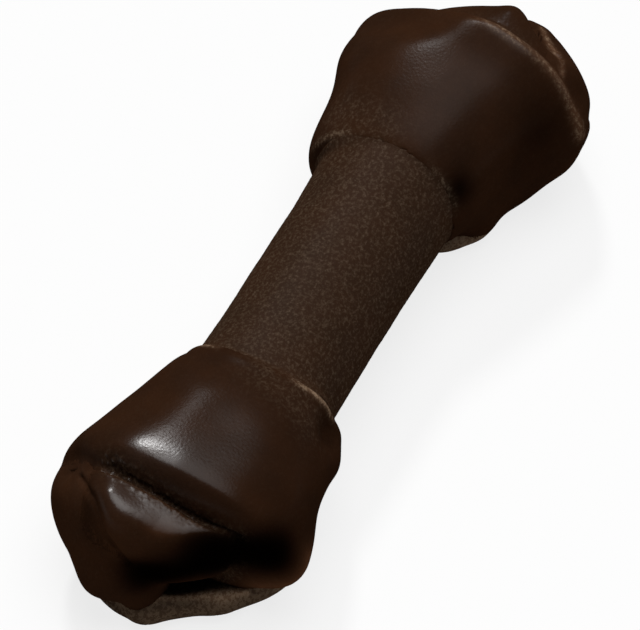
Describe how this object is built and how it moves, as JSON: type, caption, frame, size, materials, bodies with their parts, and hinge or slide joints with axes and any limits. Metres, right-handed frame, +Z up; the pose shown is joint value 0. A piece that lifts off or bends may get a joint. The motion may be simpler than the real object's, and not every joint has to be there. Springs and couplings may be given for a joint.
{
  "type": "rubber chew bone",
  "caption": "Dark brown rubber chew toy shaped like a knotted bone: a round grained shaft with a folded knot at each end, made for a dog to bite and carry.",
  "frame": {"origin": "Bottom centre of the bone, midway between the two knots, on the plane that the soles rest on.", "axes": "+X runs along the shaft from the front knot to the rear knot, +Y is across the bone and +Z is up."},
  "size_m": [0.1696, 0.0572, 0.0411],
  "materials": {
    "shaft_rubber": "matte, fine pebbled grain with pale specks",
    "knot_rubber": "satin, smooth moulded folds with grainy creases"
  },
  "bodies": {
    "root": {"shaft": "shaft_rubber", "front_wrap": "knot_rubber", "front_sole": "knot_rubber", "front_tongue": "knot_rubber", "front_tail": "knot_rubber", "rear_wrap": "knot_rubber", "rear_sole": "knot_rubber", "rear_tongue": "knot_rubber", "rear_tail": "knot_rubber"}
  },
  "joints": []
}
